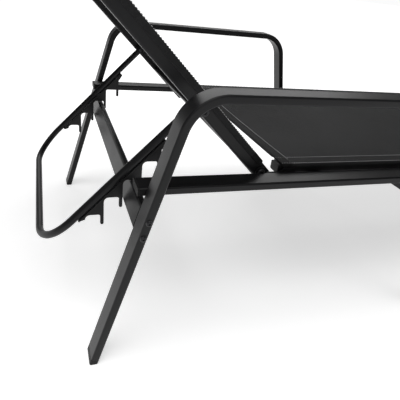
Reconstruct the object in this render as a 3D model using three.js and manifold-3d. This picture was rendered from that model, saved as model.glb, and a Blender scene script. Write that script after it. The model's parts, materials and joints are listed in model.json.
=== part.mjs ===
// Reclining sun lounger: a steel frame on two armrest loops and a pair of foot-end legs, a seat sling,
// a hinged backrest with its own sling, and a U-shaped stay whose toothed racks hook over a crossbar.
// Millimetres, +Z up. X runs along the lounger from head to foot, and Y runs across it.
// The model is drawn about the backrest hinge and then moved, so that its origin lies on the ground
// under the middle of the whole object.

import * as THREE from 'three';
import { mergeVertices } from 'three/addons/utils/BufferGeometryUtils.js';
import Module from 'manifold-3d';

const wasm = await Module();
wasm.setup();

// ---- Overall sizes ----
const OVERALL_WIDTH = 680; // over the two armrest loops
const ARM_HEIGHT = 445; // ground to the top of an armrest
const DECK_LENGTH = 1150; // hinge axis to the foot end of the beams
const BACKREST_LENGTH = 745; // hinge axis to the top edge of the backrest
const RECLINE = THREE.MathUtils.degToRad(44); // backrest above horizontal, in the third notch

// ---- Clearances ----
const GAP = 0.3; // between pieces that touch
const HOLE_CLEARANCE = 0.4; // radial, round a bolt
const NOTCH_CLEARANCE = 0.7; // each side of the crossbar in a rack notch

// ---- Flat tube of the loops, beams, legs and crossbars ----
const FLAT_WIDTH = 38;
const FLAT_THICKNESS = 13;
const FLAT_RADIUS = 3;
const WALL = 1.5;

// ---- Armrest loops ----
const REAR_FOOT_X = -280; // centre line on the ground
const FRONT_FOOT_X = 408;
const REAR_LEAN = THREE.MathUtils.degToRad(16);
const FRONT_LEAN = THREE.MathUtils.degToRad(13);
const LOOP_BEND_RADIUS = 60; // centre line
const BEND_STEPS = 14;
const SOLE_THICKNESS = 8;

// ---- Beams, crossbars and foot-end legs ----
const BEAM_HEIGHT = 291.5; // centre line
const BEAM_TAIL = 18; // past the rear leg's centre line
const CROSSBAR_HEIGHT = 250; // centre line
const FOOT_LEG_SETBACK = 85; // foot of the end leg, from the end of the beams
const FOOT_LEG_TOP = 316;
const SPREADER_WIDTH = 25;
const SPREADER_THICKNESS = 13;
const SPREADER_DROP = 5; // below the beam's centre line
const SPREADER_HEAD_X = 110;
const SPREADER_MID_X = 640;

// ---- Seat and backrest rails ----
const RAIL_INSET = 7.2; // beam's inner face to a rail's outer face
const RAIL_WIDTH = 25;
const SEAT_RAIL_DEPTH = 16;
const SEAT_RAIL_TOP = 307.3;
const SEAT_RAIL_START = 32; // hinge axis to the rail's capped end
const BACK_RAIL_DEPTH = 25;
const BACK_RAIL_TAIL = 14; // past the hinge axis, cap included
const RAIL_RADIUS = 3;
const BACK_SPREADER_X = 75; // hinge axis to the bar behind the sling
const SLING_THICKNESS = 2;
const SLING_EDGE = 1.5; // the flat sling solid stops this far inside the rails' outer faces
const BACK_SLING_START = 13;
const BACK_SLING_END = 34; // below the top of the backrest

// ---- Plugs ----
const CAP_THICKNESS = 2.5;
const INSERT_LENGTH = 18;
const SHORT_INSERT_LENGTH = 6; // where a bolt passes close to the end

// ---- Hinge ----
const HINGE_HEIGHT = 296;
const HINGE_PLATE_THICKNESS = 3;
const HINGE_PLATE_RADIUS = 10; // round end, about the hinge axis
const HINGE_PLATE_REACH = 66; // hinge axis to the plate's other end
const HINGE_PLATE_RISE = 7; // above the hinge axis, on the seat rail
const HINGE_PLATE_STEP = 4; // past the seat rail's end, where the plate rises
const HINGE_HEAD_HEIGHT = 3;
const HINGE_BOLT_RADIUS = 4;
const HEAD_HEIGHT = 4;
const HEAD_RADIUS = 7;
const NUT_HEIGHT = 5;
const NUT_RADIUS = 7;

// ---- Stay and racks ----
const STAY_PIVOT_X = 150; // up the backrest from the hinge axis
const STAY_PIVOT_Z = -6; // behind the rails' centre line
const STAY_ANGLE = THREE.MathUtils.degToRad(46); // arms below horizontal
const STAY_LENGTH = 346; // pivot to the base's centre line
const STAY_RADIUS = 6.5;
const STAY_BEND_RADIUS = 73;
const STAY_TAIL = 9; // past the pivot
const STAY_BOLT_RADIUS = 3;
const STAY_SPACER_LENGTH = 8; // between a backrest rail and an arm
const STAY_SPACER_RADIUS = 6;
const RACK_THICKNESS = 3;
const RACK_FLANGE_WIDTH = 12;
const RACK_FLANGE_THICKNESS = 2;
const NOTCH_PITCH = 43; // along the arm
const NOTCH_COUNT = 4;
const ENGAGED_NOTCH = 1; // counted from the pivot end, from 0
const TOOTH_DEPTH = 19; // arch to tooth tip, on the pivot side
const ARCH_RADIUS = 8;
const ARCH_CORNER_RADIUS = 3.5;
const RACK_NOSE_LENGTH = 16; // past the last tooth, up the arm

// ---- Small bolts ----
const BOLT_RADIUS = 3;
const BOLT_HEAD_RADIUS = 5;
const BOLT_HEAD_HEIGHT = 3;
const BOLT_SPACING = 26; // the pair at each end of a crossbar
const BOLT_PAIR_RISE = 1; // the pair's middle, above the crossbar's
const BOLT_GRIP = 15; // past the far wall
const HEAD_RIM_SHARE = 0.4; // a domed head's straight rim, of its height
const DOME_WIDTH_SHARE = 0.7; // the dome's shoulder, of the head's radius
const DOME_HEIGHT_SHARE = 0.85; // the dome's shoulder, of the head's height
const ROUND_STEPS = 16;
const STAY_TUBE_STEPS = 6; // a quarter of its round section

// ---- Sizes that follow ----
const legOuter = OVERALL_WIDTH / 2;
const legMiddle = legOuter - FLAT_WIDTH / 2;
const legInner = legOuter - FLAT_WIDTH;
const beamOuter = legInner - GAP;
const beamMiddle = beamOuter - FLAT_WIDTH / 2;
const beamInner = beamOuter - FLAT_WIDTH;
const railOuter = beamInner - RAIL_INSET;
const railMiddle = railOuter - RAIL_WIDTH / 2;
const railInner = railOuter - RAIL_WIDTH;
const stayArm = railInner - 2 * GAP - STAY_SPACER_LENGTH - STAY_RADIUS;
const plateMiddle = railOuter + GAP + HINGE_PLATE_THICKNESS / 2;

const flatSection = { width: FLAT_WIDTH, height: FLAT_THICKNESS, radius: FLAT_RADIUS };
const seatRailSection = { width: RAIL_WIDTH, height: SEAT_RAIL_DEPTH, radius: RAIL_RADIUS };
const backRailSection = { width: RAIL_WIDTH, height: BACK_RAIL_DEPTH, radius: RAIL_RADIUS };

const sides = [
  { name: 'left', sign: 1 },
  { name: 'right', sign: -1 },
];

// ---- Materials ----
const steel = { color: 0x2b2c2e, roughness: 0.55, metalness: 0.35 };
const plastic = { color: 0x161617, roughness: 0.6, metalness: 0 };
const textilene = { color: 0x38393b, roughness: 0.85, metalness: 0 };
const zinc = { color: 0x6f7173, roughness: 0.4, metalness: 0.9 };

const lounger = new THREE.Group();
const frame = new THREE.Group();
const backrest = new THREE.Group();
const stay = new THREE.Group();

function addPiece(group, name, geometry, finish) {
  const mesh = new THREE.Mesh(geometry, new THREE.MeshStandardMaterial(finish));
  mesh.name = name;
  group.add(mesh);
  return mesh;
}

// ---- Solids ----
function toManifold(geometry) {
  const bare = geometry.clone();
  bare.deleteAttribute('normal');
  bare.deleteAttribute('uv');
  const merged = mergeVertices(bare, 1e-4);
  return new wasm.Manifold(new wasm.Mesh({
    numProp: 3,
    vertProperties: new Float32Array(merged.attributes.position.array),
    triVerts: new Uint32Array(merged.index.array),
  }));
}

function toGeometry(solid) {
  const mesh = solid.getMesh();
  const geometry = new THREE.BufferGeometry();
  geometry.setAttribute('position', new THREE.BufferAttribute(new Float32Array(mesh.vertProperties), 3));
  geometry.setIndex(new THREE.BufferAttribute(new Uint32Array(mesh.triVerts), 1));
  geometry.computeVertexNormals();
  return geometry;
}

function cut(geometry, ...tools) {
  return toGeometry(tools.reduce((solid, tool) => solid.subtract(toManifold(tool)), toManifold(geometry)));
}

function join(geometry, ...others) {
  return toGeometry(others.reduce((solid, other) => solid.add(toManifold(other)), toManifold(geometry)));
}

// A rod along Y, centred on y.
function rodAlongY(radius, length, x, y, z) {
  return new THREE.CylinderGeometry(radius, radius, length, ROUND_STEPS).translate(x, y, z);
}

// ---- Sections: x across, y through ----
function roundedRect(outline, width, height, radius) {
  const x = width / 2;
  const y = height / 2;
  outline.moveTo(x, -y + radius);
  outline.lineTo(x, y - radius);
  outline.absarc(x - radius, y - radius, radius, 0, Math.PI / 2, false);
  outline.lineTo(-x + radius, y);
  outline.absarc(-x + radius, y - radius, radius, Math.PI / 2, Math.PI, false);
  outline.lineTo(-x, -y + radius);
  outline.absarc(-x + radius, -y + radius, radius, Math.PI, 1.5 * Math.PI, false);
  outline.lineTo(x - radius, -y);
  outline.absarc(x - radius, -y + radius, radius, 1.5 * Math.PI, 2 * Math.PI, false);
  return outline;
}

function boxTube(width, height, radius) {
  const section = roundedRect(new THREE.Shape(), width, height, radius);
  section.holes.push(roundedRect(new THREE.Path(), width - 2 * WALL, height - 2 * WALL, radius - WALL));
  return section;
}

function roundTube(radius) {
  const section = new THREE.Shape();
  section.absarc(0, 0, radius, 0, 2 * Math.PI, false);
  const bore = new THREE.Path();
  bore.absarc(0, 0, radius - WALL, 0, 2 * Math.PI, false);
  section.holes.push(bore);
  return section;
}

// A centre line of straights and round bends in one plane, sampled only where it turns. A section's
// own x lies along across, which is square to the centre line everywhere.
class BentPath extends THREE.Curve {
  constructor(corners, radius, across) {
    super();
    this.across = across;
    this.stations = [];
    corners.forEach((corner, index) => this.addCorner(corners, corner, index, radius));
  }

  addCorner(corners, corner, index, radius) {
    const ahead = corners[Math.min(index + 1, corners.length - 1)].clone();
    const behind = corners[Math.max(index - 1, 0)].clone();
    const into = corner.clone().sub(behind).normalize();
    const out = ahead.sub(corner).normalize();
    if (index === 0) {
      this.stations.push({ point: corner, tangent: out });
      return;
    }
    if (index === corners.length - 1) {
      this.stations.push({ point: corner, tangent: into });
      return;
    }
    const turn = into.angleTo(out);
    const start = corner.clone().addScaledVector(into, -radius * Math.tan(turn / 2));
    const inward = out.clone().addScaledVector(into, -out.dot(into)).normalize();
    const centre = start.clone().addScaledVector(inward, radius);
    for (let step = 0; step <= BEND_STEPS; step += 1) {
      const angle = (turn * step) / BEND_STEPS;
      const point = centre.clone();
      point.addScaledVector(into, radius * Math.sin(angle));
      point.addScaledVector(inward, -radius * Math.cos(angle));
      const tangent = into.clone().multiplyScalar(Math.cos(angle));
      tangent.addScaledVector(inward, Math.sin(angle));
      this.stations.push({ point, tangent });
    }
  }

  stationAt(u) {
    return this.stations[Math.round(u * (this.stations.length - 1))];
  }

  getPointAt(u) {
    return this.stationAt(u).point.clone();
  }

  getTangentAt(u) {
    return this.stationAt(u).tangent.clone();
  }

  computeFrenetFrames() {
    const tangents = this.stations.map((station) => station.tangent.clone());
    const normals = tangents.map(() => this.across.clone());
    const binormals = tangents.map((tangent) => tangent.clone().cross(this.across));
    return { tangents, normals, binormals };
  }
}

const at = (x, y, z) => new THREE.Vector3(x, y, z);
const ALONG_Y = at(0, 1, 0);
const ALONG_Z = at(0, 0, 1);

function sweep(section, corners, across, radius = 0, curveSegments = 2) {
  const path = new BentPath(corners, radius, across);
  const steps = path.stations.length - 1;
  return new THREE.ExtrudeGeometry(section, { steps, extrudePath: path, bevelEnabled: false, curveSegments });
}

function flatTube(corners, across, radius = 0) {
  return sweep(boxTube(FLAT_WIDTH, FLAT_THICKNESS, FLAT_RADIUS), corners, across, radius);
}

// ---- Leaning legs ----
function leanedX(footX, lean, height) {
  return footX + Math.tan(lean) * height;
}

// The end of a leg's tube, above its sole.
function legEnd(footX, lean, y) {
  return at(leanedX(footX, lean, SOLE_THICKNESS), y, SOLE_THICKNESS);
}

// A plug for a tube whose end faces along direction: a head outside the end, and an insert inside.
function plug(section, end, direction, headLength, insertLength = INSERT_LENGTH) {
  const { width, height, radius } = section;
  const face = end.clone().addScaledVector(direction, GAP);
  const head = sweep(roundedRect(new THREE.Shape(), width, height, radius),
    [face, face.clone().addScaledVector(direction, headLength)], ALONG_Y);
  const inset = 2 * (WALL + GAP);
  const insert = sweep(roundedRect(new THREE.Shape(), width - inset, height - inset, radius - WALL), [
    end.clone().addScaledVector(direction, -insertLength),
    face.clone().addScaledVector(direction, CAP_THICKNESS / 2),
  ], ALONG_Y);
  return join(head, insert);
}

// The plug under a leg, planed off level with the ground.
function footPlug(footX, lean, y) {
  const down = at(-Math.sin(lean), 0, -Math.cos(lean));
  const body = plug(flatSection, legEnd(footX, lean, y), down, 2 * SOLE_THICKNESS);
  const ground = new THREE.BoxGeometry(2 * FLAT_WIDTH, 2 * OVERALL_WIDTH, 2 * SOLE_THICKNESS);
  return cut(body, ground.translate(footX, 0, -SOLE_THICKNESS));
}

// A domed bolt whose head rests on the face at headY; outward is +1 when the head faces +Y.
function bolt(radius, length, headRadius, headHeight, x, headY, z, outward) {
  const profile = [
    new THREE.Vector2(0, -length),
    new THREE.Vector2(radius, -length),
    new THREE.Vector2(radius, GAP),
    new THREE.Vector2(headRadius, GAP),
    new THREE.Vector2(headRadius, GAP + HEAD_RIM_SHARE * headHeight),
    new THREE.Vector2(DOME_WIDTH_SHARE * headRadius, GAP + DOME_HEIGHT_SHARE * headHeight),
    new THREE.Vector2(0, GAP + headHeight),
  ];
  const geometry = new THREE.LatheGeometry(profile, ROUND_STEPS);
  if (outward < 0) geometry.rotateX(Math.PI);
  return geometry.translate(x, headY, z);
}

function hexNut(boreRadius, x, y, z) {
  const outline = new THREE.Shape();
  for (let corner = 0; corner < 6; corner += 1) {
    const angle = (corner * Math.PI) / 3;
    const point = [NUT_RADIUS * Math.cos(angle), NUT_RADIUS * Math.sin(angle)];
    if (corner === 0) outline.moveTo(...point);
    else outline.lineTo(...point);
  }
  const bore = new THREE.Path();
  bore.absarc(0, 0, boreRadius, 0, 2 * Math.PI, false);
  outline.holes.push(bore);
  const depth = { depth: NUT_HEIGHT, bevelEnabled: false, curveSegments: ROUND_STEPS / 2 };
  return new THREE.ExtrudeGeometry(outline, depth).rotateX(Math.PI / 2).translate(x, y + NUT_HEIGHT / 2, z);
}

// A closed lathe profile, centred on its own middle.
function ringProfile(inner, outer, length) {
  return [
    new THREE.Vector2(inner, -length / 2),
    new THREE.Vector2(outer, -length / 2),
    new THREE.Vector2(outer, length / 2),
    new THREE.Vector2(inner, length / 2),
    new THREE.Vector2(inner, -length / 2),
  ];
}

// ---- Crossbars: the wide face leans with the legs that they join ----
function crossbar(footX, lean) {
  const reach = legInner - GAP;
  const centreX = leanedX(footX, lean, CROSSBAR_HEIGHT);
  const tube = flatTube([at(0, -reach, 0), at(0, reach, 0)], ALONG_Z);
  return tube.rotateY(lean).translate(centreX, 0, CROSSBAR_HEIGHT);
}

// Where the two bolts at a crossbar's end pass through the leg.
function crossbarBoltPlaces(footX, lean) {
  return [0.5, -0.5].map((share) => {
    const along = share * BOLT_SPACING + BOLT_PAIR_RISE;
    const x = leanedX(footX, lean, CROSSBAR_HEIGHT) + along * Math.sin(lean);
    return { x, z: CROSSBAR_HEIGHT + along * Math.cos(lean) };
  });
}

// ---- Armrest loops ----
const rearPlaces = crossbarBoltPlaces(REAR_FOOT_X, REAR_LEAN);
const beamBoltXs = {
  rear: leanedX(REAR_FOOT_X, REAR_LEAN, BEAM_HEIGHT),
  front: leanedX(FRONT_FOOT_X, -FRONT_LEAN, BEAM_HEIGHT),
};

function armrestLoop(sign) {
  const y = sign * legMiddle;
  const armZ = ARM_HEIGHT - FLAT_THICKNESS / 2;
  const tube = flatTube([
    legEnd(REAR_FOOT_X, REAR_LEAN, y),
    at(leanedX(REAR_FOOT_X, REAR_LEAN, armZ), y, armZ),
    at(leanedX(FRONT_FOOT_X, -FRONT_LEAN, armZ), y, armZ),
    legEnd(FRONT_FOOT_X, -FRONT_LEAN, y),
  ], ALONG_Y, LOOP_BEND_RADIUS);
  const through = rearPlaces.map((place) => rodAlongY(
    BOLT_RADIUS + HOLE_CLEARANCE, 2 * FLAT_WIDTH, place.x, y, place.z));
  const innerWall = Object.values(beamBoltXs).map((x) => rodAlongY(
    BOLT_RADIUS + HOLE_CLEARANCE, FLAT_WIDTH, x, sign * legInner, BEAM_HEIGHT));
  return cut(tube, ...through, ...innerWall);
}

for (const { name, sign } of sides) {
  const y = sign * legMiddle;
  addPiece(frame, `armrest_loop_${name}`, armrestLoop(sign), steel);
  addPiece(frame, `rear_foot_${name}`, footPlug(REAR_FOOT_X, REAR_LEAN, y), plastic);
  addPiece(frame, `front_foot_${name}`, footPlug(FRONT_FOOT_X, -FRONT_LEAN, y), plastic);
}

// ---- Foot-end legs ----
const endFootX = DECK_LENGTH - FOOT_LEG_SETBACK;
const endTopX = leanedX(endFootX, -FRONT_LEAN, FOOT_LEG_TOP);

for (const { name, sign } of sides) {
  const y = sign * legMiddle;
  const top = at(endTopX, y, FOOT_LEG_TOP);
  const upward = at(-Math.sin(FRONT_LEAN), 0, Math.cos(FRONT_LEAN));
  const tube = flatTube([legEnd(endFootX, -FRONT_LEAN, y), top], ALONG_Y);
  addPiece(frame, `end_leg_${name}`, tube, steel);
  addPiece(frame, `end_foot_${name}`, footPlug(endFootX, -FRONT_LEAN, y), plastic);
  addPiece(frame, `end_leg_cap_${name}`, plug(flatSection, top, upward, CAP_THICKNESS), plastic);
}

addPiece(frame, 'rear_crossbar', crossbar(REAR_FOOT_X, REAR_LEAN), steel);
addPiece(frame, 'front_crossbar', crossbar(FRONT_FOOT_X, -FRONT_LEAN), steel);
addPiece(frame, 'end_crossbar', crossbar(endFootX, -FRONT_LEAN), steel);

// ---- Bolts of the rear crossbar, heads outside the legs ----
for (const { name, sign } of sides) {
  rearPlaces.forEach((place, index) => {
    const level = index === 0 ? 'upper' : 'lower';
    addPiece(frame, `crossbar_bolt_${level}_${name}`, bolt(BOLT_RADIUS, FLAT_WIDTH + BOLT_GRIP,
      BOLT_HEAD_RADIUS, BOLT_HEAD_HEIGHT, place.x, sign * legOuter, place.z, sign), zinc);
  });
}

// ---- Side beams and what fastens them to the loops ----
const beamStart = beamBoltXs.rear - BEAM_TAIL;

for (const { name, sign } of sides) {
  const y = sign * beamMiddle;
  const start = at(beamStart + CAP_THICKNESS, y, BEAM_HEIGHT);
  const end = at(DECK_LENGTH - CAP_THICKNESS, y, BEAM_HEIGHT);
  const holes = Object.values(beamBoltXs).map((x) => rodAlongY(
    BOLT_RADIUS + HOLE_CLEARANCE, 2 * FLAT_WIDTH, x, y, BEAM_HEIGHT));
  const tube = flatTube([start, end], ALONG_Y);
  addPiece(frame, `side_beam_${name}`, cut(tube, ...holes), steel);
  const headCap = plug(flatSection, start, at(-1, 0, 0), CAP_THICKNESS - GAP, SHORT_INSERT_LENGTH);
  const endCap = plug(flatSection, end, at(1, 0, 0), CAP_THICKNESS - GAP, SHORT_INSERT_LENGTH);
  addPiece(frame, `beam_cap_head_${name}`, headCap, plastic);
  addPiece(frame, `beam_cap_end_${name}`, endCap, plastic);
  for (const [place, x] of Object.entries(beamBoltXs)) {
    addPiece(frame, `beam_bolt_${place}_${name}`, bolt(BOLT_RADIUS, FLAT_WIDTH + BOLT_GRIP,
      BOLT_HEAD_RADIUS, BOLT_HEAD_HEIGHT, x, sign * beamInner, BEAM_HEIGHT, -sign), zinc);
  }
}

// ---- Seat frame: rails on spreaders between the beams ----
const seatRailZ = SEAT_RAIL_TOP - SEAT_RAIL_DEPTH / 2;
const spreaderTop = SEAT_RAIL_TOP - SEAT_RAIL_DEPTH - GAP;

for (const { name, sign } of sides) {
  const y = sign * railMiddle;
  const start = at(SEAT_RAIL_START + CAP_THICKNESS, y, seatRailZ);
  const end = at(DECK_LENGTH, y, seatRailZ);
  const tube = sweep(boxTube(RAIL_WIDTH, SEAT_RAIL_DEPTH, RAIL_RADIUS), [start, end], ALONG_Y);
  addPiece(frame, `seat_rail_${name}`, tube, steel);
  const cap = plug(seatRailSection, start, at(-1, 0, 0), CAP_THICKNESS - GAP);
  addPiece(frame, `seat_rail_cap_${name}`, cap, plastic);
}

function spreader(x) {
  const reach = beamInner - GAP;
  const tube = sweep(boxTube(SPREADER_THICKNESS, SPREADER_WIDTH, FLAT_RADIUS),
    [at(0, -reach, 0), at(0, reach, 0)], ALONG_Z);
  return tube.translate(x, 0, spreaderTop - SPREADER_THICKNESS / 2);
}

function railEndBar() {
  const reach = railInner - GAP;
  const tube = sweep(boxTube(SEAT_RAIL_DEPTH - SPREADER_DROP, RAIL_WIDTH, RAIL_RADIUS),
    [at(0, -reach, 0), at(0, reach, 0)], ALONG_Z);
  return tube.translate(DECK_LENGTH - RAIL_WIDTH / 2, 0, seatRailZ - SPREADER_DROP / 2);
}

addPiece(frame, 'seat_spreader_head', spreader(SPREADER_HEAD_X), steel);
addPiece(frame, 'seat_spreader_middle', spreader(SPREADER_MID_X), steel);
addPiece(frame, 'seat_end_bar', railEndBar(), steel);

function sling(length, reach) {
  return new THREE.BoxGeometry(length, 2 * reach, SLING_THICKNESS);
}

const slingReach = railOuter - SLING_EDGE;
const seatSlingLength = DECK_LENGTH - SEAT_RAIL_START;
addPiece(frame, 'seat_sling', sling(seatSlingLength, slingReach), textilene).position.set(
  SEAT_RAIL_START + seatSlingLength / 2, 0, SEAT_RAIL_TOP + GAP + SLING_THICKNESS / 2);

// ---- Hinge plates: welded to the seat rails' outer faces, with a low strip back to the hinge axis ----
function hingePlate(sign) {
  const outline = new THREE.Shape();
  outline.absarc(0, 0, HINGE_PLATE_RADIUS, 0, 1.5 * Math.PI, false);
  outline.lineTo(HINGE_PLATE_REACH, -HINGE_PLATE_RADIUS);
  outline.lineTo(HINGE_PLATE_REACH, HINGE_PLATE_RISE);
  outline.lineTo(SEAT_RAIL_START + HINGE_PLATE_STEP + HINGE_PLATE_RISE, HINGE_PLATE_RISE);
  outline.lineTo(SEAT_RAIL_START + HINGE_PLATE_STEP, 0);
  const bore = new THREE.Path();
  bore.absarc(0, 0, HINGE_BOLT_RADIUS + HOLE_CLEARANCE, 0, 2 * Math.PI, false);
  outline.holes.push(bore);
  const plate = new THREE.ExtrudeGeometry(outline,
    { depth: HINGE_PLATE_THICKNESS, bevelEnabled: false, curveSegments: ROUND_STEPS / 2 });
  plate.rotateX(Math.PI / 2);
  return plate.translate(0, sign * plateMiddle + HINGE_PLATE_THICKNESS / 2, HINGE_HEIGHT);
}

for (const { name, sign } of sides) {
  const plateOuter = railOuter + GAP + HINGE_PLATE_THICKNESS;
  const nutY = sign * (railInner - GAP - NUT_HEIGHT / 2);
  const nut = hexNut(HINGE_BOLT_RADIUS + GAP, 0, nutY, HINGE_HEIGHT);
  const shank = plateOuter - railInner + GAP + NUT_HEIGHT;
  addPiece(frame, `hinge_plate_${name}`, hingePlate(sign), steel);
  addPiece(frame, `hinge_nut_${name}`, nut, zinc);
  addPiece(frame, `hinge_bolt_${name}`, bolt(HINGE_BOLT_RADIUS, shank, HEAD_RADIUS, HINGE_HEAD_HEIGHT,
    0, sign * plateOuter, HINGE_HEIGHT, sign), zinc);
}

// ---- Backrest: drawn lying along -X behind the hinge axis, then tilted about it ----
for (const { name, sign } of sides) {
  const y = sign * railMiddle;
  const foot = at(BACK_RAIL_TAIL - CAP_THICKNESS, y, 0);
  const head = at(CAP_THICKNESS - BACKREST_LENGTH, y, 0);
  const tube = sweep(boxTube(RAIL_WIDTH, BACK_RAIL_DEPTH, RAIL_RADIUS), [foot, head], ALONG_Y);
  const hingeHole = rodAlongY(HINGE_BOLT_RADIUS + HOLE_CLEARANCE, 2 * RAIL_WIDTH, 0, y, 0);
  const stayHole = rodAlongY(
    STAY_BOLT_RADIUS + HOLE_CLEARANCE, 2 * RAIL_WIDTH, -STAY_PIVOT_X, y, STAY_PIVOT_Z);
  addPiece(backrest, `back_rail_${name}`, cut(tube, hingeHole, stayHole), steel);
  const footCap = plug(backRailSection, foot, at(1, 0, 0), CAP_THICKNESS - GAP, SHORT_INSERT_LENGTH);
  const headCap = plug(backRailSection, head, at(-1, 0, 0), CAP_THICKNESS - GAP);
  addPiece(backrest, `back_rail_foot_cap_${name}`, footCap, plastic);
  addPiece(backrest, `back_rail_head_cap_${name}`, headCap, plastic);
}

function backBar(width, height, x, z) {
  const reach = railInner - GAP;
  const tube = sweep(boxTube(height, width, RAIL_RADIUS), [at(0, -reach, 0), at(0, reach, 0)], ALONG_Z);
  return tube.translate(x, 0, z);
}

const topBarX = RAIL_WIDTH / 2 + CAP_THICKNESS - BACKREST_LENGTH;
const backSpreaderZ = (SPREADER_THICKNESS - BACK_RAIL_DEPTH) / 2;
const backSpreader = backBar(SPREADER_WIDTH, SPREADER_THICKNESS, -BACK_SPREADER_X, backSpreaderZ);
addPiece(backrest, 'back_top_bar', backBar(RAIL_WIDTH, BACK_RAIL_DEPTH, topBarX, 0), steel);
addPiece(backrest, 'back_spreader', backSpreader, steel);

const backSlingLength = BACKREST_LENGTH - BACK_SLING_START - BACK_SLING_END;
addPiece(backrest, 'back_sling', sling(backSlingLength, slingReach), textilene).position.set(
  -BACK_SLING_START - backSlingLength / 2, 0, BACK_RAIL_DEPTH / 2 + GAP + SLING_THICKNESS / 2);

// ---- Stay: drawn lying along -X behind its pivot, then turned down to the crossbar ----
const stayTube = sweep(roundTube(STAY_RADIUS), [
  at(STAY_TAIL, stayArm, 0),
  at(-STAY_LENGTH, stayArm, 0),
  at(-STAY_LENGTH, -stayArm, 0),
  at(STAY_TAIL, -stayArm, 0),
], ALONG_Z, STAY_BEND_RADIUS, STAY_TUBE_STEPS);
const stayHole = rodAlongY(STAY_BOLT_RADIUS + HOLE_CLEARANCE, OVERALL_WIDTH, 0, 0, 0);
addPiece(stay, 'stay_tube', cut(stayTube, stayHole), steel);

for (const { name, sign } of sides) {
  const shank = railOuter - stayArm + STAY_RADIUS + GAP;
  const spacer = new THREE.LatheGeometry(ringProfile(
    STAY_BOLT_RADIUS + HOLE_CLEARANCE, STAY_SPACER_RADIUS, STAY_SPACER_LENGTH), ROUND_STEPS);
  spacer.translate(-STAY_PIVOT_X, sign * (railInner - GAP - STAY_SPACER_LENGTH / 2), STAY_PIVOT_Z);
  addPiece(backrest, `stay_spacer_${name}`, spacer, plastic);
  addPiece(backrest, `stay_bolt_${name}`, bolt(STAY_BOLT_RADIUS, shank, HEAD_RADIUS, HEAD_HEIGHT,
    -STAY_PIVOT_X, sign * railOuter, STAY_PIVOT_Z, sign), zinc);
}

// ---- Racks ----
// Places on a rack are worked out upright, in X and Z with the lounger at rest, because its teeth hang
// straight down over the leaning crossbar, and are then turned into the stay's own directions.
const pivotX = -STAY_PIVOT_X * Math.cos(RECLINE) + STAY_PIVOT_Z * Math.sin(RECLINE);
const pivotZ = HINGE_HEIGHT + STAY_PIVOT_X * Math.sin(RECLINE) + STAY_PIVOT_Z * Math.cos(RECLINE);
const barLean = { sin: Math.sin(REAR_LEAN), cos: Math.cos(REAR_LEAN) };
const barX = leanedX(REAR_FOOT_X, REAR_LEAN, CROSSBAR_HEIGHT);
const barLowX = barX - (FLAT_WIDTH * barLean.sin + FLAT_THICKNESS * barLean.cos) / 2;
const barHighX = barX + (FLAT_WIDTH * barLean.sin + FLAT_THICKNESS * barLean.cos) / 2;
const barTopZ = CROSSBAR_HEIGHT + (FLAT_WIDTH * barLean.cos + FLAT_THICKNESS * barLean.sin) / 2;
const notchHalfWidth = (barHighX - barLowX) / 2 + NOTCH_CLEARANCE;
const pitchX = NOTCH_PITCH * Math.cos(STAY_ANGLE);
const pitchZ = NOTCH_PITCH * Math.sin(STAY_ANGLE);
const toothRadius = (pitchX - 2 * notchHalfWidth) / 2;
const engagedArch = { x: (barLowX + barHighX) / 2, z: barTopZ + NOTCH_CLEARANCE };

function archAt(notch) {
  const steps = ENGAGED_NOTCH - notch;
  return { x: engagedArch.x + steps * pitchX, z: engagedArch.z + steps * pitchZ };
}

// From upright places to the stay's own plane: x along the arms, y away from the rack.
function intoStay(x, z) {
  const dx = x - pivotX;
  const dz = z - pivotZ;
  return new THREE.Vector2(
    dx * Math.cos(STAY_ANGLE) + dz * Math.sin(STAY_ANGLE),
    dz * Math.cos(STAY_ANGLE) - dx * Math.sin(STAY_ANGLE),
  );
}

function arcPoints(centreX, centreZ, radius, from, to, steps) {
  const points = [];
  for (let step = 0; step <= steps; step += 1) {
    const angle = THREE.MathUtils.degToRad(from + ((to - from) * step) / steps);
    points.push(intoStay(centreX + radius * Math.cos(angle), centreZ + radius * Math.sin(angle)));
  }
  return points;
}

// One notch and the tooth on its pivot side, from the wall that it shares with the tooth below.
function notchPoints(arch) {
  const wall = arch.x + notchHalfWidth;
  const corner = ARCH_CORNER_RADIUS;
  return [
    ...arcPoints(arch.x - notchHalfWidth + ARCH_RADIUS, arch.z - ARCH_RADIUS, ARCH_RADIUS, 180, 90, 4),
    ...arcPoints(wall - corner, arch.z - corner, corner, 90, 0, 3),
    ...arcPoints(wall + toothRadius, arch.z - TOOTH_DEPTH + toothRadius, toothRadius, 180, 360, 5),
  ];
}

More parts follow.
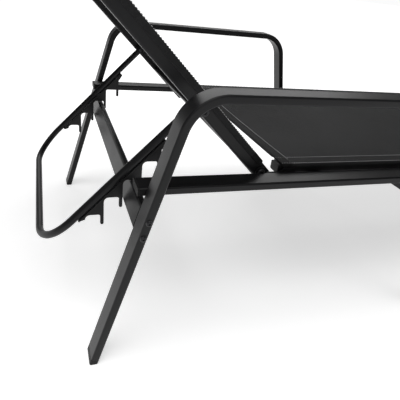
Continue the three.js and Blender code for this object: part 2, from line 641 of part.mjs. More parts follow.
function rackPlate(sign) {
  const top = -STAY_RADIUS - GAP;
  const first = archAt(0);
  const last = archAt(NOTCH_COUNT - 1);
  const shoulder = intoStay(first.x + notchHalfWidth + 2 * toothRadius, first.z + TOOTH_DEPTH);
  const nose = new THREE.Vector2(shoulder.x + RACK_NOSE_LENGTH, shoulder.y + ARCH_CORNER_RADIUS);
  const lip = intoStay(last.x - notchHalfWidth, last.z - ARCH_RADIUS);
  const outline = new THREE.Shape();
  outline.moveTo(lip.x - ARCH_RADIUS, top);
  outline.lineTo(lip.x - ARCH_RADIUS, (top + lip.y) / 2);
  for (let notch = NOTCH_COUNT - 1; notch >= 0; notch -= 1) {
    notchPoints(archAt(notch)).forEach((point) => outline.lineTo(point.x, point.y));
  }
  outline.lineTo(shoulder.x, shoulder.y);
  outline.lineTo(nose.x, nose.y);
  outline.lineTo(nose.x, top);
  const plate = new THREE.ExtrudeGeometry(outline, { depth: RACK_THICKNESS, bevelEnabled: false });
  plate.translate(0, 0, -RACK_THICKNESS / 2).rotateX(Math.PI / 2);
  const length = nose.x - (lip.x - ARCH_RADIUS);
  const flange = new THREE.BoxGeometry(length, RACK_FLANGE_WIDTH, RACK_FLANGE_THICKNESS);
  flange.translate(nose.x - length / 2, 0, top - RACK_FLANGE_THICKNESS / 2);
  return join(plate, flange).translate(0, sign * stayArm, 0);
}

for (const { name, sign } of sides) {
  addPiece(stay, `rack_plate_${name}`, rackPlate(sign), steel);
}

// ---- Assembly ----
stay.position.set(-STAY_PIVOT_X, 0, STAY_PIVOT_Z);
stay.rotation.y = -STAY_ANGLE - RECLINE;
backrest.add(stay);
backrest.position.set(0, 0, HINGE_HEIGHT);
backrest.rotation.y = RECLINE;
lounger.add(frame, backrest);
lounger.updateMatrixWorld(true);

const middle = new THREE.Box3().setFromObject(lounger, true).getCenter(at(0, 0, 0));
lounger.position.set(-middle.x, 0, 0);
lounger.updateMatrixWorld(true);

export default lounger;
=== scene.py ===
"""A reclining sun lounger: powder-coated tube frame, mesh slings, bolts, plugs and weld beads."""

from __future__ import annotations

import json
import logging
import math
from dataclasses import dataclass
from enum import Enum

import bmesh
import bpy
from mathutils import Matrix, Vector, noise

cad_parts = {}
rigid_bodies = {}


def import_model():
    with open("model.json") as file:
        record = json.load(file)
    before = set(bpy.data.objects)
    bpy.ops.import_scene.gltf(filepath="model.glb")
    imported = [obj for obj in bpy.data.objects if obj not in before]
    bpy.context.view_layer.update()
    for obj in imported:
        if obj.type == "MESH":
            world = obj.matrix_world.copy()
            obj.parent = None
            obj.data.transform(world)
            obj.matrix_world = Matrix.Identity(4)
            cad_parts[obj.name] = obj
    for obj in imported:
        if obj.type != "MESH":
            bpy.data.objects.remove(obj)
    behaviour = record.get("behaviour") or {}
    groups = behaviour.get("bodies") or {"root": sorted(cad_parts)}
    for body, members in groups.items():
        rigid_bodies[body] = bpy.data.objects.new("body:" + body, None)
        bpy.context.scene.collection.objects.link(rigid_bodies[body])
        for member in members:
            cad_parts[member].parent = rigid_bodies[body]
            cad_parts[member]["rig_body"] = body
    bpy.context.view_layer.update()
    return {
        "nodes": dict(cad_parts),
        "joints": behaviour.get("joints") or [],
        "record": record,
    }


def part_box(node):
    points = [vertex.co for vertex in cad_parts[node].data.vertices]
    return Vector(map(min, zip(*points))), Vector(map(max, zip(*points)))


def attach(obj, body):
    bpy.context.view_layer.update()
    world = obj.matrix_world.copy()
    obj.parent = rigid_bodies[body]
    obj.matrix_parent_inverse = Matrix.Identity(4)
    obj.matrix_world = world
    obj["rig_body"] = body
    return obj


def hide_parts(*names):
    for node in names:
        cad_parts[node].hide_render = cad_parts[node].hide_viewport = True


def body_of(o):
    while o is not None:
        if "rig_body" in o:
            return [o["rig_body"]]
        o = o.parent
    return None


logging.basicConfig(level=logging.INFO, format="%(name)s: %(message)s")
LOG = logging.getLogger("lounger")

MM = 0.001

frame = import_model()


class Side(Enum):
    """The two long sides of the lounger."""

    LEFT = ("left", 1)
    RIGHT = ("right", -1)

    @property
    def label(self) -> str:
        """The word that node names carry."""
        return self.value[0]

    @property
    def sign(self) -> int:
        """Which way the side lies along Y."""
        return self.value[1]


class Slot(Enum):
    """The record's material slots."""

    COAT = "powder_coat"
    PLASTIC = "black_plastic"
    MESH = "textilene"
    ZINC = "zinc_steel"


# ---- Node groups ----
class NodeGroups:
    """Builds each shared effect once and places it in materials."""

    def __init__(self) -> None:
        """Starts with no groups built."""
        self.built: dict[str, bpy.types.NodeTree] = {}

    def _new(self, name: str, inputs: dict[str, float], outputs: list[str]) -> bpy.types.NodeTree:
        """Makes an empty group with its sockets.

        Args:
            name: The group's name.
            inputs: Each float input's name and default.
            outputs: Each float output's name.

        Returns:
            The node tree, with its input and output nodes in place.
        """
        tree = bpy.data.node_groups.new(name, "ShaderNodeTree")
        for label, value in inputs.items():
            socket = tree.interface.new_socket(label, in_out="INPUT", socket_type="NodeSocketFloat")
            socket.default_value = value
        for label in outputs:
            tree.interface.new_socket(label, in_out="OUTPUT", socket_type="NodeSocketFloat")
        tree.nodes.new("NodeGroupInput")
        tree.nodes.new("NodeGroupOutput")
        self.built[name] = tree
        return tree

    @staticmethod
    def ends(tree: bpy.types.NodeTree) -> tuple[bpy.types.Node, bpy.types.Node]:
        """Finds a group's input and output nodes."""
        start = next(n for n in tree.nodes if n.bl_idname == "NodeGroupInput")
        end = next(n for n in tree.nodes if n.bl_idname == "NodeGroupOutput")
        return start, end

    def grain(self) -> bpy.types.NodeTree:
        """Fine pebbled height, and a broad mottle, from object coordinates."""
        if "grain" in self.built:
            return self.built["grain"]
        tree = self._new("grain", {"Scale": 1500.0, "Mottle Scale": 9.0}, ["Height", "Mottle"])
        start, end = self.ends(tree)
        place = tree.nodes.new("ShaderNodeTexCoord")
        fine = add_noise(tree, start.outputs["Scale"], detail=2.0, roughness=0.5)
        broad = add_noise(tree, start.outputs["Mottle Scale"], detail=4.0, roughness=0.6)
        for node in (fine, broad):
            tree.links.new(place.outputs["Object"], node.inputs["Vector"])
        tree.links.new(fine.outputs["Fac"], end.inputs["Height"])
        tree.links.new(broad.outputs["Fac"], end.inputs["Mottle"])
        return tree

    def edge_wear(self) -> bpy.types.NodeTree:
        """A mask along sharp edges, broken up by noise, and a normal that softens them."""
        if "edge_wear" in self.built:
            return self.built["edge_wear"]
        tree = self._new("edge_wear", {"Radius": 0.0012, "Break Scale": 160.0}, ["Mask"])
        tree.interface.new_socket("Normal", in_out="OUTPUT", socket_type="NodeSocketVector")
        start, end = self.ends(tree)
        soft = tree.nodes.new("ShaderNodeBevel")
        soft.samples = 6
        tree.links.new(start.outputs["Radius"], soft.inputs["Radius"])
        sharp = tree.nodes.new("ShaderNodeNewGeometry")
        dot = tree.nodes.new("ShaderNodeVectorMath")
        dot.operation = "DOT_PRODUCT"
        tree.links.new(soft.outputs["Normal"], dot.inputs[0])
        tree.links.new(sharp.outputs["Normal"], dot.inputs[1])
        edge = tree.nodes.new("ShaderNodeMapRange")
        edge.inputs["From Min"].default_value = 0.995
        edge.inputs["From Max"].default_value = 0.9
        tree.links.new(dot.outputs["Value"], edge.inputs["Value"])
        broken = add_noise(tree, start.outputs["Break Scale"], detail=5.0, roughness=0.65)
        place = tree.nodes.new("ShaderNodeTexCoord")
        tree.links.new(place.outputs["Object"], broken.inputs["Vector"])
        patch = tree.nodes.new("ShaderNodeMapRange")
        patch.inputs["From Min"].default_value = 0.48
        patch.inputs["From Max"].default_value = 0.68
        tree.links.new(broken.outputs["Fac"], patch.inputs["Value"])
        product = tree.nodes.new("ShaderNodeMath")
        product.operation = "MULTIPLY"
        tree.links.new(edge.outputs["Result"], product.inputs[0])
        tree.links.new(patch.outputs["Result"], product.inputs[1])
        tree.links.new(product.outputs["Value"], end.inputs["Mask"])
        tree.links.new(soft.outputs["Normal"], end.inputs["Normal"])
        return tree

    def dust(self) -> bpy.types.NodeTree:
        """A patchy mask on faces that look upward."""
        if "dust" in self.built:
            return self.built["dust"]
        tree = self._new("dust", {"Scale": 14.0, "Fine Scale": 600.0}, ["Mask"])
        start, end = self.ends(tree)
        facing = tree.nodes.new("ShaderNodeNewGeometry")
        split = tree.nodes.new("ShaderNodeSeparateXYZ")
        tree.links.new(facing.outputs["Normal"], split.inputs["Vector"])
        upward = tree.nodes.new("ShaderNodeMapRange")
        upward.inputs["From Min"].default_value = 0.35
        tree.links.new(split.outputs["Z"], upward.inputs["Value"])
        place = tree.nodes.new("ShaderNodeTexCoord")
        mask = upward.outputs["Result"]
        for label, low, high in (("Scale", 0.42, 0.72), ("Fine Scale", 0.45, 0.7)):
            speck = add_noise(tree, start.outputs[label], detail=4.0, roughness=0.6)
            tree.links.new(place.outputs["Object"], speck.inputs["Vector"])
            ramp = tree.nodes.new("ShaderNodeMapRange")
            ramp.inputs["From Min"].default_value = low
            ramp.inputs["From Max"].default_value = high
            tree.links.new(speck.outputs["Fac"], ramp.inputs["Value"])
            product = tree.nodes.new("ShaderNodeMath")
            product.operation = "MULTIPLY"
            tree.links.new(mask, product.inputs[0])
            tree.links.new(ramp.outputs["Result"], product.inputs[1])
            mask = product.outputs["Value"]
        tree.links.new(mask, end.inputs["Mask"])
        return tree

    def weave(self) -> bpy.types.NodeTree:
        """A plain weave from the sheet's own UV, in metres: yarn height, gaps and a slub streak."""
        if "weave" in self.built:
            return self.built["weave"]
        tree = self._new("weave", {"Yarns per Metre": 620.0}, ["Height", "Gap", "Slub"])
        start, end = self.ends(tree)
        place = tree.nodes.new("ShaderNodeTexCoord")
        split = tree.nodes.new("ShaderNodeSeparateXYZ")
        tree.links.new(place.outputs["UV"], split.inputs["Vector"])
        density = start.outputs["Yarns per Metre"]
        crowns = [self._yarn_crown(tree, split.outputs[axis], density) for axis in ("X", "Y")]
        checks = self._check(tree, split, density)
        over = tree.nodes.new("ShaderNodeMix")
        tree.links.new(checks, over.inputs[0])
        tree.links.new(crowns[0], over.inputs[2])
        tree.links.new(crowns[1], over.inputs[3])
        tree.links.new(over.outputs[0], end.inputs["Height"])
        gap = tree.nodes.new("ShaderNodeMath")
        gap.operation = "MAXIMUM"
        tree.links.new(crowns[0], gap.inputs[0])
        tree.links.new(crowns[1], gap.inputs[1])
        hole = tree.nodes.new("ShaderNodeMapRange")
        hole.inputs["From Min"].default_value = 0.55
        hole.inputs["From Max"].default_value = 0.15
        tree.links.new(gap.outputs["Value"], hole.inputs["Value"])
        tree.links.new(hole.outputs["Result"], end.inputs["Gap"])
        stretch = tree.nodes.new("ShaderNodeVectorMath")
        stretch.operation = "MULTIPLY"
        stretch.inputs[1].default_value = (12.0, 420.0, 1.0)
        tree.links.new(place.outputs["UV"], stretch.inputs[0])
        slub = tree.nodes.new("ShaderNodeTexNoise")
        slub.inputs["Scale"].default_value = 1.0
        slub.inputs["Detail"].default_value = 3.0
        tree.links.new(stretch.outputs["Vector"], slub.inputs["Vector"])
        tree.links.new(slub.outputs["Fac"], end.inputs["Slub"])
        return tree

    @staticmethod
    def _yarn_crown(tree: bpy.types.NodeTree, along: bpy.types.NodeSocket,
                    density: bpy.types.NodeSocket) -> bpy.types.NodeSocket:
        """The rounded height of one set of yarns.

        Args:
            tree: The group being built.
            along: The coordinate across the yarns.
            density: Yarns in a metre.

        Returns:
            A socket that runs from 0 between yarns to 1 on their crowns.
        """
        scaled = tree.nodes.new("ShaderNodeMath")
        scaled.operation = "MULTIPLY"
        tree.links.new(along, scaled.inputs[0])
        tree.links.new(density, scaled.inputs[1])
        turn = tree.nodes.new("ShaderNodeMath")
        turn.operation = "MULTIPLY"
        turn.inputs[1].default_value = math.pi
        tree.links.new(scaled.outputs["Value"], turn.inputs[0])
        wave = tree.nodes.new("ShaderNodeMath")
        wave.operation = "SINE"
        tree.links.new(turn.outputs["Value"], wave.inputs[0])
        crown = tree.nodes.new("ShaderNodeMath")
        crown.operation = "ABSOLUTE"
        tree.links.new(wave.outputs["Value"], crown.inputs[0])
        return crown.outputs["Value"]

    @staticmethod
    def _check(tree: bpy.types.NodeTree, split: bpy.types.Node,
               density: bpy.types.NodeSocket) -> bpy.types.NodeSocket:
        """Which yarn lies on top at each crossing, as 0 or 1."""
        floors = []
        for axis in ("X", "Y"):
            scaled = tree.nodes.new("ShaderNodeMath")
            scaled.operation = "MULTIPLY"
            tree.links.new(split.outputs[axis], scaled.inputs[0])
            tree.links.new(density, scaled.inputs[1])
            whole = tree.nodes.new("ShaderNodeMath")
            whole.operation = "FLOOR"
            tree.links.new(scaled.outputs["Value"], whole.inputs[0])
            floors.append(whole.outputs["Value"])
        total = tree.nodes.new("ShaderNodeMath")
        total.operation = "ADD"
        tree.links.new(floors[0], total.inputs[0])
        tree.links.new(floors[1], total.inputs[1])
        parity = tree.nodes.new("ShaderNodeMath")
        parity.operation = "FLOORED_MODULO"
        parity.inputs[1].default_value = 2.0
        tree.links.new(total.outputs["Value"], parity.inputs[0])
        return parity.outputs["Value"]


def add_noise(tree: bpy.types.NodeTree, scale: bpy.types.NodeSocket, detail: float,
              roughness: float) -> bpy.types.Node:
    """Adds a noise texture whose scale comes from a socket.

    Args:
        tree: The tree to add to.
        scale: The socket that sets its scale.
        detail: Octaves of detail.
        roughness: Weight of the finer octaves.

    Returns:
        The noise node, its Vector input still open.
    """
    node = tree.nodes.new("ShaderNodeTexNoise")
    node.inputs["Detail"].default_value = detail
    node.inputs["Roughness"].default_value = roughness
    tree.links.new(scale, node.inputs["Scale"])
    return node


GROUPS = NodeGroups()


# ---- Finishes ----
@dataclass(frozen=True)
class Finish:
    """What every finish has: colours, roughness range and how deep its surface texture is."""

    name: str
    colour: tuple[float, float, float]
    # Light edge colour and its strength: rubbed edges, and on the bolts partly a painted highlight on the
    # heads' rims.
    worn_colour: tuple[float, float, float]
    roughness: tuple[float, float]
    grain_scale: float
    grain_depth: float
    metallic: float = 0.0
    specular: float = 0.5
    wear: float = 0.5
    dust: float = 0.12
    edge_radius: float = 0.0008
    dust_colour: tuple[float, float, float] = (0.32, 0.30, 0.27)
    shade_range: tuple[float, float] = (0.82, 1.22)
    bump_strength: float = 0.6

    def material(self) -> bpy.types.Material:
        """Builds the material once and hands it back after that."""
        known = bpy.data.materials.get(self.name)
        if known:
            return known
        material = bpy.data.materials.new(self.name)
        material.use_nodes = True
        tree = material.node_tree
        shader = tree.nodes["Principled BSDF"]
        shader.inputs["Metallic"].default_value = self.metallic
        shader.inputs["Specular IOR Level"].default_value = self.specular
        self._texture(tree, shader)
        return material

    def _texture(self, tree: bpy.types.NodeTree, shader: bpy.types.Node) -> None:
        """Joins grain, the rubbed-edge mask and dust to the shader; on the bolts the light edges are partly a
        painted highlight.
        """
        grain = place_group(tree, GROUPS.grain(), {"Scale": self.grain_scale})
        wear = place_group(tree, GROUPS.edge_wear(), {"Radius": self.edge_radius})
        dust = place_group(tree, GROUPS.dust(), {})
        low, high = (scaled(self.colour, share) for share in self.shade_range)
        shade = mix_colour(tree, grain.outputs["Mottle"], low, high)
        # The edge mask: rubbed edges, and on the bolts partly a painted highlight.
        worn_and_lit = fade(tree, wear.outputs["Mask"], self.wear)
        edged = mix_onto(tree, worn_and_lit, shade, self.worn_colour)
        settled = fade(tree, dust.outputs["Mask"], self.dust)
        dusty = mix_onto(tree, settled, edged, self.dust_colour)
        tree.links.new(dusty, shader.inputs["Base Color"])
        self._roughen(tree, shader, grain.outputs["Mottle"])
        bump = self._raise(tree, shader, grain.outputs["Height"])
        tree.links.new(wear.outputs["Normal"], bump.inputs["Normal"])

    def _roughen(self, tree: bpy.types.NodeTree, shader: bpy.types.Node,
                 mottle: bpy.types.NodeSocket) -> None:
        """Varies the roughness within its range by the mottle."""
        rough = tree.nodes.new("ShaderNodeMapRange")
        rough.inputs["To Min"].default_value = self.roughness[0]
        rough.inputs["To Max"].default_value = self.roughness[1]
        tree.links.new(mottle, rough.inputs["Value"])
        tree.links.new(rough.outputs["Result"], shader.inputs["Roughness"])

    def _raise(self, tree: bpy.types.NodeTree, shader: bpy.types.Node,
               height: bpy.types.NodeSocket) -> bpy.types.Node:
        """Bumps the surface by a height.

        Args:
            tree: The material's tree.
            shader: Its shader.
            height: The socket that holds the height.

        Returns:
            The bump node, its own Normal input still open.
        """
        bump = tree.nodes.new("ShaderNodeBump")
        bump.inputs["Strength"].default_value = self.bump_strength
        bump.inputs["Distance"].default_value = self.grain_depth
        tree.links.new(height, bump.inputs["Height"])
        tree.links.new(bump.outputs["Normal"], shader.inputs["Normal"])
        return bump


@dataclass(frozen=True)
class MeshFabric(Finish):
    """Coated polyester yarns in a plain weave, with small gaps between them; the gaps are painted near-black
    as painted shade.
    """

    yarns: float = 620.0
    # The gaps between the yarns are painted near-black: painted shade where the holes look into shadow.
    gap_shade_colour: tuple[float, float, float] = (0.006, 0.006, 0.006)
    gap_shade_share: float = 0.85
    sheen: float = 0.12
    mottle_scale: float = 5.0
    dust_scale: float = 6.0
    shade_range: tuple[float, float] = (0.62, 1.45)
    bump_strength: float = 0.7

    def _texture(self, tree: bpy.types.NodeTree, shader: bpy.types.Node) -> None:
        """Joins the weave, its slubs and dust to the shader."""
        weave = place_group(tree, GROUPS.weave(), {"Yarns per Metre": self.yarns})
        grain = place_group(tree, GROUPS.grain(),
                            {"Scale": self.grain_scale, "Mottle Scale": self.mottle_scale})
        dust = place_group(tree, GROUPS.dust(), {"Scale": self.dust_scale})
        low, high = (scaled(self.colour, share) for share in self.shade_range)
        yarn = mix_colour(tree, weave.outputs["Slub"], low, high)
        # Darkens the gaps between the yarns: painted shade.
        dark = mix_onto(tree, fade(tree, weave.outputs["Gap"], self.gap_shade_share), yarn, self.gap_shade_colour)
        dusty = mix_onto(tree, fade(tree, dust.outputs["Mask"], self.dust), dark, self.dust_colour)
        tree.links.new(dusty, shader.inputs["Base Color"])
        shader.inputs["Sheen Weight"].default_value = self.sheen
        self._roughen(tree, shader, grain.outputs["Mottle"])
        self._raise(tree, shader, weave.outputs["Height"])


def scaled(colour: tuple[float, float, float], factor: float) -> tuple[float, float, float]:
    """A colour made darker or lighter."""
    return tuple(channel * factor for channel in colour)


def place_group(tree: bpy.types.NodeTree, group: bpy.types.NodeTree,
                values: dict[str, float]) -> bpy.types.Node:
    """Places a group in a material with its own values."""
    node = tree.nodes.new("ShaderNodeGroup")
    node.node_tree = group
    for label, value in values.items():
        node.inputs[label].default_value = value
    return node


def mix_colour(tree: bpy.types.NodeTree, mask: bpy.types.NodeSocket, low: tuple[float, float, float],
               high: tuple[float, float, float]) -> bpy.types.NodeSocket:
    """Blends two fixed colours by a mask."""
    node = tree.nodes.new("ShaderNodeMix")
    node.data_type = "RGBA"
    node.inputs[6].default_value = (*low, 1.0)
    node.inputs[7].default_value = (*high, 1.0)
    tree.links.new(mask, node.inputs[0])
    return node.outputs[2]


def mix_onto(tree: bpy.types.NodeTree, mask: bpy.types.NodeSocket, base: bpy.types.NodeSocket,
             top: tuple[float, float, float]) -> bpy.types.NodeSocket:
    """Lays a fixed colour over a varying one by a mask."""
    node = tree.nodes.new("ShaderNodeMix")
    node.data_type = "RGBA"
    node.inputs[7].default_value = (*top, 1.0)
    tree.links.new(base, node.inputs[6])
    tree.links.new(mask, node.inputs[0])
    return node.outputs[2]


def fade(tree: bpy.types.NodeTree, mask: bpy.types.NodeSocket, amount: float) -> bpy.types.NodeSocket:
    """Weakens a mask."""
    node = tree.nodes.new("ShaderNodeMath")
    node.operation = "MULTIPLY"
    node.inputs[1].default_value = amount
    tree.links.new(mask, node.inputs[0])
    return node.outputs["Value"]


COAT = Finish("powder_coat_anthracite", (0.007, 0.007, 0.0077), (0.06, 0.06, 0.064), (0.34, 0.47),
              grain_scale=1400.0, grain_depth=0.00008, specular=0.26, wear=0.30, dust=0.03)
PLUG = Finish("black_moulded_plastic", (0.005, 0.005, 0.005), (0.06, 0.06, 0.06), (0.48, 0.66),
              grain_scale=2600.0, grain_depth=0.00006, specular=0.3, wear=0.3, dust=0.05, edge_radius=0.0009)
ZINC = Finish("zinc_plated_steel", (0.40, 0.41, 0.42), (0.62, 0.62, 0.62), (0.26, 0.42),
              grain_scale=900.0, grain_depth=0.00003, metallic=0.9, wear=0.5, dust=0.1, edge_radius=0.0005)
# The bolts' light edge colour and strong edge mask are partly real rubbing and partly a painted highlight on
# the heads' rims.
BLACK_BOLT = Finish("blackened_steel", (0.030, 0.030, 0.032), (0.34, 0.34, 0.35), (0.28, 0.42),
                    grain_scale=900.0, grain_depth=0.00003, metallic=0.6, wear=0.7, dust=0.1,
                    edge_radius=0.0005)
WELD = Finish("coated_weld", (0.010, 0.010, 0.011), (0.05, 0.05, 0.05), (0.36, 0.5),
              grain_scale=700.0, grain_depth=0.00020, wear=0.2, dust=0.08)
FABRIC = MeshFabric("grey_mesh_fabric", (0.0128, 0.0128, 0.0134), (0.1, 0.1, 0.1), (0.62, 0.80),
                    grain_scale=900.0, grain_depth=0.00035, specular=0.2, sheen=0.05, dust=0.02)
# The hems and lips are the same cloth as the sheet, painted about a quarter as bright: painted shade on the
# turned ends.
HEM_PAINTED_SHADE = MeshFabric("hem_fabric_painted_shade", (0.0035, 0.0035, 0.0037), (0.1, 0.1, 0.1), (0.62, 0.80),
                 grain_scale=900.0, grain_depth=0.00030, specular=0.2, sheen=0.03, dust=0.02)
THREAD = Finish("grey_thread", (0.38, 0.38, 0.385), (0.4, 0.4, 0.4), (0.5, 0.7),
                grain_scale=3000.0, grain_depth=0.00010, wear=0.2, dust=0.1, edge_radius=0.0001)


def dress(piece: bpy.types.Object, finish: Finish) -> bpy.types.Object:
    """Gives a piece its one material."""
    piece.data.materials.clear()
    piece.data.materials.append(finish.material())
    return piece


def mesh_piece(name: str, mesh: bmesh.types.BMesh) -> bpy.types.Object:
    """Turns a finished bmesh into a smooth-shaded object in the scene."""
    data = bpy.data.meshes.new(name)
    mesh.normal_update()
    mesh.to_mesh(data)
    mesh.free()
    data.shade_smooth()
    piece = bpy.data.objects.new(name, data)
    bpy.context.scene.collection.objects.link(piece)
    return piece


# ---- The sheets' places ----
@dataclass(frozen=True)
class Span:
    """Where a sling lies: a flat strip between its foot-end and head-end middles."""

    start: Vector
    along: Vector
    up: Vector
    length: float
    half_width: float

    @classmethod
    def of_node(cls, node: str, headward: Vector, inset: float = 0.0) -> "Span":
        """Reads a sling's strip from its CAD solid.

        Args:
            node: The CAD node, a thin box.
            headward: Roughly which way the strip runs, in X and Z.
            inset: How far the cloth stops short of the solid's first end.

        Returns:
            The strip's middle line, its normal and its half width, on the solid's lower face.
        """
        corners = [vertex.co.copy() for vertex in frame["nodes"][node].data.vertices]
        flat = {(round(c.x, 6), round(c.z, 6)) for c in corners}
        ends = sorted((Vector((x, 0.0, z)) for x, z in flat), key=lambda c: c.dot(headward))
        first, second, third, fourth = ends
        start, finish = (first + second) / 2, (third + fourth) / 2
        along = (finish - start).normalized()
        up = along.cross(Vector((0.0, 1.0, 0.0)))
        if up.z < 0:
            up.negate()
        thickness = (first - second).length
        half = max(c.y for c in corners)
        foot = start + along * inset - up * thickness / 2
        return cls(foot, along, up, (finish - start).length - inset, half)

    def place(self, s: float, y: float, h: float) -> Vector:
        """The point s along, y across and h above the strip."""
        return self.start + self.along * s + Vector((0.0, y, 0.0)) + self.up * h


@dataclass
class Sling:
    """A fabric sheet pulled over two rails, with turned hems at its ends and stitching."""

    name: str
    span: Span
    body: str
    node: str
    rests_on: list[str]
    side_drop: float
    lip_end: bool = True
    thickness: float = 0.9 * MM
    corner: float = 3.2 * MM
    edge_gap: float = 2.7 * MM
    sag: float = 5.0 * MM
    hem_width: float = 22.0 * MM
    rail_clearance: float = 1.5 * MM
    lip_radius: float = 1.3 * MM
    lip_drop: float = 2.0 * MM
    rail_width: float = 25.7 * MM
    clearance: float = 0.5 * MM
    end_sag_share: float = 0.35
    sag_reach: float = 4.0
    ripple_depth: float = 0.9 * MM
    ripple_along: float = 7.0
    ripple_across: float = 9.0
    fold_rise: float = 0.9
    fold_layers: float = 1.9
    fold_steps: int = 5
    seam_inset: float = 1.8 * MM
    across_steps: int = 56
    along_steps: int = 90
    drop_steps: int = 4
    corner_steps: int = 4
    hem_steps: int = 4
    stitch_length: float = 3.4 * MM
    stitch_gap: float = 1.3 * MM
    stitch_radius: float = 0.6 * MM
    stitch_inset: float = 1.2 * MM

    def profile(self) -> list[tuple[float, float, float]]:
        """The sheet's line across the lounger.

        Returns:
            Points (y, h, sag share) from one lower edge to the other.
        """
        edge = self.span.half_width + self.edge_gap
        half = []
        for step in range(self.drop_steps + 1):
            height = -self.side_drop + (self.side_drop - self.corner) * step / self.drop_steps
            half.append((edge, height, 0.0))
        for step in range(1, self.corner_steps + 1):
            angle = math.pi / 2 * step / self.corner_steps
            half.append((edge - self.corner * (1 - math.cos(angle)),
                         -self.corner * (1 - math.sin(angle)), 0.0))
        inner = edge - self.rail_width
        half.append(((edge - self.corner + inner) / 2, 0.0, 0.0))
        half.append((inner, 0.0, 0.0))
        middle_steps = self.across_steps // 2
        for step in range(1, middle_steps + 1):
            y = inner * (1 - step / middle_steps)
            half.append((y, 0.0, 1 - (y / inner) ** 2))
        return half + [(-y, h, share) for y, h, share in reversed(half[:-1])]

    def sagged(self, s: float) -> float:
        """How much the middle hangs at a distance along the sheet."""
        share = min(1.0, max(0.0, min(s, self.span.length - s) / (self.sag_reach * self.hem_width)))
        return self.sag * (self.end_sag_share + (1 - self.end_sag_share) * math.sin(share * math.pi / 2))

    def ripple(self, s: float, y: float, share: float) -> float:
        """Slight unevenness of the cloth, none over the rails."""
        spot = Vector((s * self.ripple_along, y * self.ripple_across, self.span.length))
        return self.ripple_depth * share * noise.noise(spot)

    def surface(self, s: float, y: float, h: float, share: float) -> Vector:
        """A point on the sheet's upper face."""
        height = h + self.lift() - share * self.sagged(s) + self.ripple(s, y, share)
        return self.span.place(s, y, height)

    def lift(self) -> float:
        """The upper face's height over the rail."""
        return self.thickness + self.clearance

    def stations(self) -> list[float]:
        """Even distances along the sheet."""
        return [self.span.length * step / self.along_steps for step in range(self.along_steps + 1)]

    def strip(self, name: str, stations: list[float], raised: float, thick: float,
              profile: list[tuple[float, float, float]]) -> bpy.types.Object:
        """Builds a sheet over some stations, with UVs in metres.

        Args:
            name: The piece's name.
            stations: Distances along the lounger.
            raised: How far it lies above the main sheet's face.
            thick: The sheet's thickness, built downward.
            profile: The line across.

        Returns:
            The new object.
        """
        mesh = bmesh.new()
        uv = mesh.loops.layers.uv.new("UVMap")
        girth = [0.0]
        for (y0, h0, _), (y1, h1, _) in zip(profile, profile[1:]):
            girth.append(girth[-1] + math.hypot(y1 - y0, h1 - h0))
        rows = []
        for s in stations:
            row = []
            for y, h, share in profile:
                outward = self.outward(y, h) * raised
                row.append(mesh.verts.new(self.surface(s, y, h, share) + outward))
            rows.append(row)
        for j in range(len(stations) - 1):
            for i in range(len(profile) - 1):
                face = mesh.faces.new((rows[j][i], rows[j][i + 1], rows[j + 1][i + 1], rows[j + 1][i]))
                spots = ((j, i), (j, i + 1), (j + 1, i + 1), (j + 1, i))
                for loop, (row, column) in zip(face.loops, spots):
                    loop[uv].uv = (girth[column], stations[row])
        piece = mesh_piece(name, mesh)
        facing = sum((poly.normal.dot(self.span.up) for poly in piece.data.polygons), 0.0)
        if facing < 0:
            piece.data.flip_normals()
        solid = piece.modifiers.new("thickness", "SOLIDIFY")
        solid.thickness = thick
        solid.offset = -1.0
        return piece

    def outward(self, y: float, h: float) -> Vector:
        """Which way the sheet faces at a place on its line across."""
        edge = self.span.half_width + self.edge_gap
        if h <= -self.corner:
            return Vector((0.0, math.copysign(1.0, y), 0.0))
        if abs(y) <= edge - self.corner:
            return self.span.up
        tilt = math.asin(max(-1.0, min(1.0, 1 + h / self.corner)))
        return Vector((0.0, math.copysign(math.cos(tilt), y), 0.0)) + self.span.up * math.sin(tilt)

    def hem(self, name: str, at_start: bool) -> bpy.types.Object:
        """A turned hem: a second layer over the sheet's end."""
        length = self.span.length
        sign, base = (1, 0.0) if at_start else (-1, length)
        stations = sorted(base + sign * self.hem_width * step / self.hem_steps
                          for step in range(self.hem_steps + 1))
        raised, thick = self.thickness * self.fold_rise, self.thickness * self.fold_layers
        return self.strip(name, stations, raised, thick, self.profile())

    def lip(self, name: str, at_start: bool) -> bpy.types.Object:
        """The hem's fold between the rails: a rounded edge that turns down.

        Args:
            name: The piece's name.
            at_start: Whether it is at the strip's first end.

        Returns:
            The new object.
        """
        sign, s_edge = (-1, 0.0) if at_start else (1, self.span.length)
        radius = self.lip_radius
        offsets = [(radius * math.sin(a), radius * (1 - math.cos(a)))
                   for a in (math.pi / 2 * step / self.fold_steps for step in range(self.fold_steps + 1))]
        offsets.append((radius, self.lip_drop))
        reach = self.span.half_width + self.edge_gap - self.rail_width - self.rail_clearance
        line = [point for point in self.profile() if abs(point[0]) < reach]
        mesh = bmesh.new()
        uv = mesh.loops.layers.uv.new("UVMap")
        rows = []
        for forward, down in offsets:
            rise = self.span.up * (self.thickness * self.fold_rise - down) + self.span.along * forward * sign
            rows.append([mesh.verts.new(self.surface(s_edge, y, h, share) + rise) for y, h, share in line])
        for j in range(len(rows) - 1):
            for i in range(len(line) - 1):
                spots = ((j, i), (j, i + 1), (j + 1, i + 1), (j + 1, i))
                face = mesh.faces.new([rows[row][column] for row, column in spots])
                for loop, (row, column) in zip(face.loops, spots):
                    loop[uv].uv = (line[column][0], offsets[row][0] + offsets[row][1])
        piece = mesh_piece(name, mesh)
        outward = self.span.up + self.span.along * sign
        facing = sum((poly.normal.dot(outward) for poly in piece.data.polygons), 0.0)
        if facing < 0:
            piece.data.flip_normals()
        solid = piece.modifiers.new("thickness", "SOLIDIFY")
        solid.thickness = self.thickness * self.fold_layers
        solid.offset = -1.0
        return piece

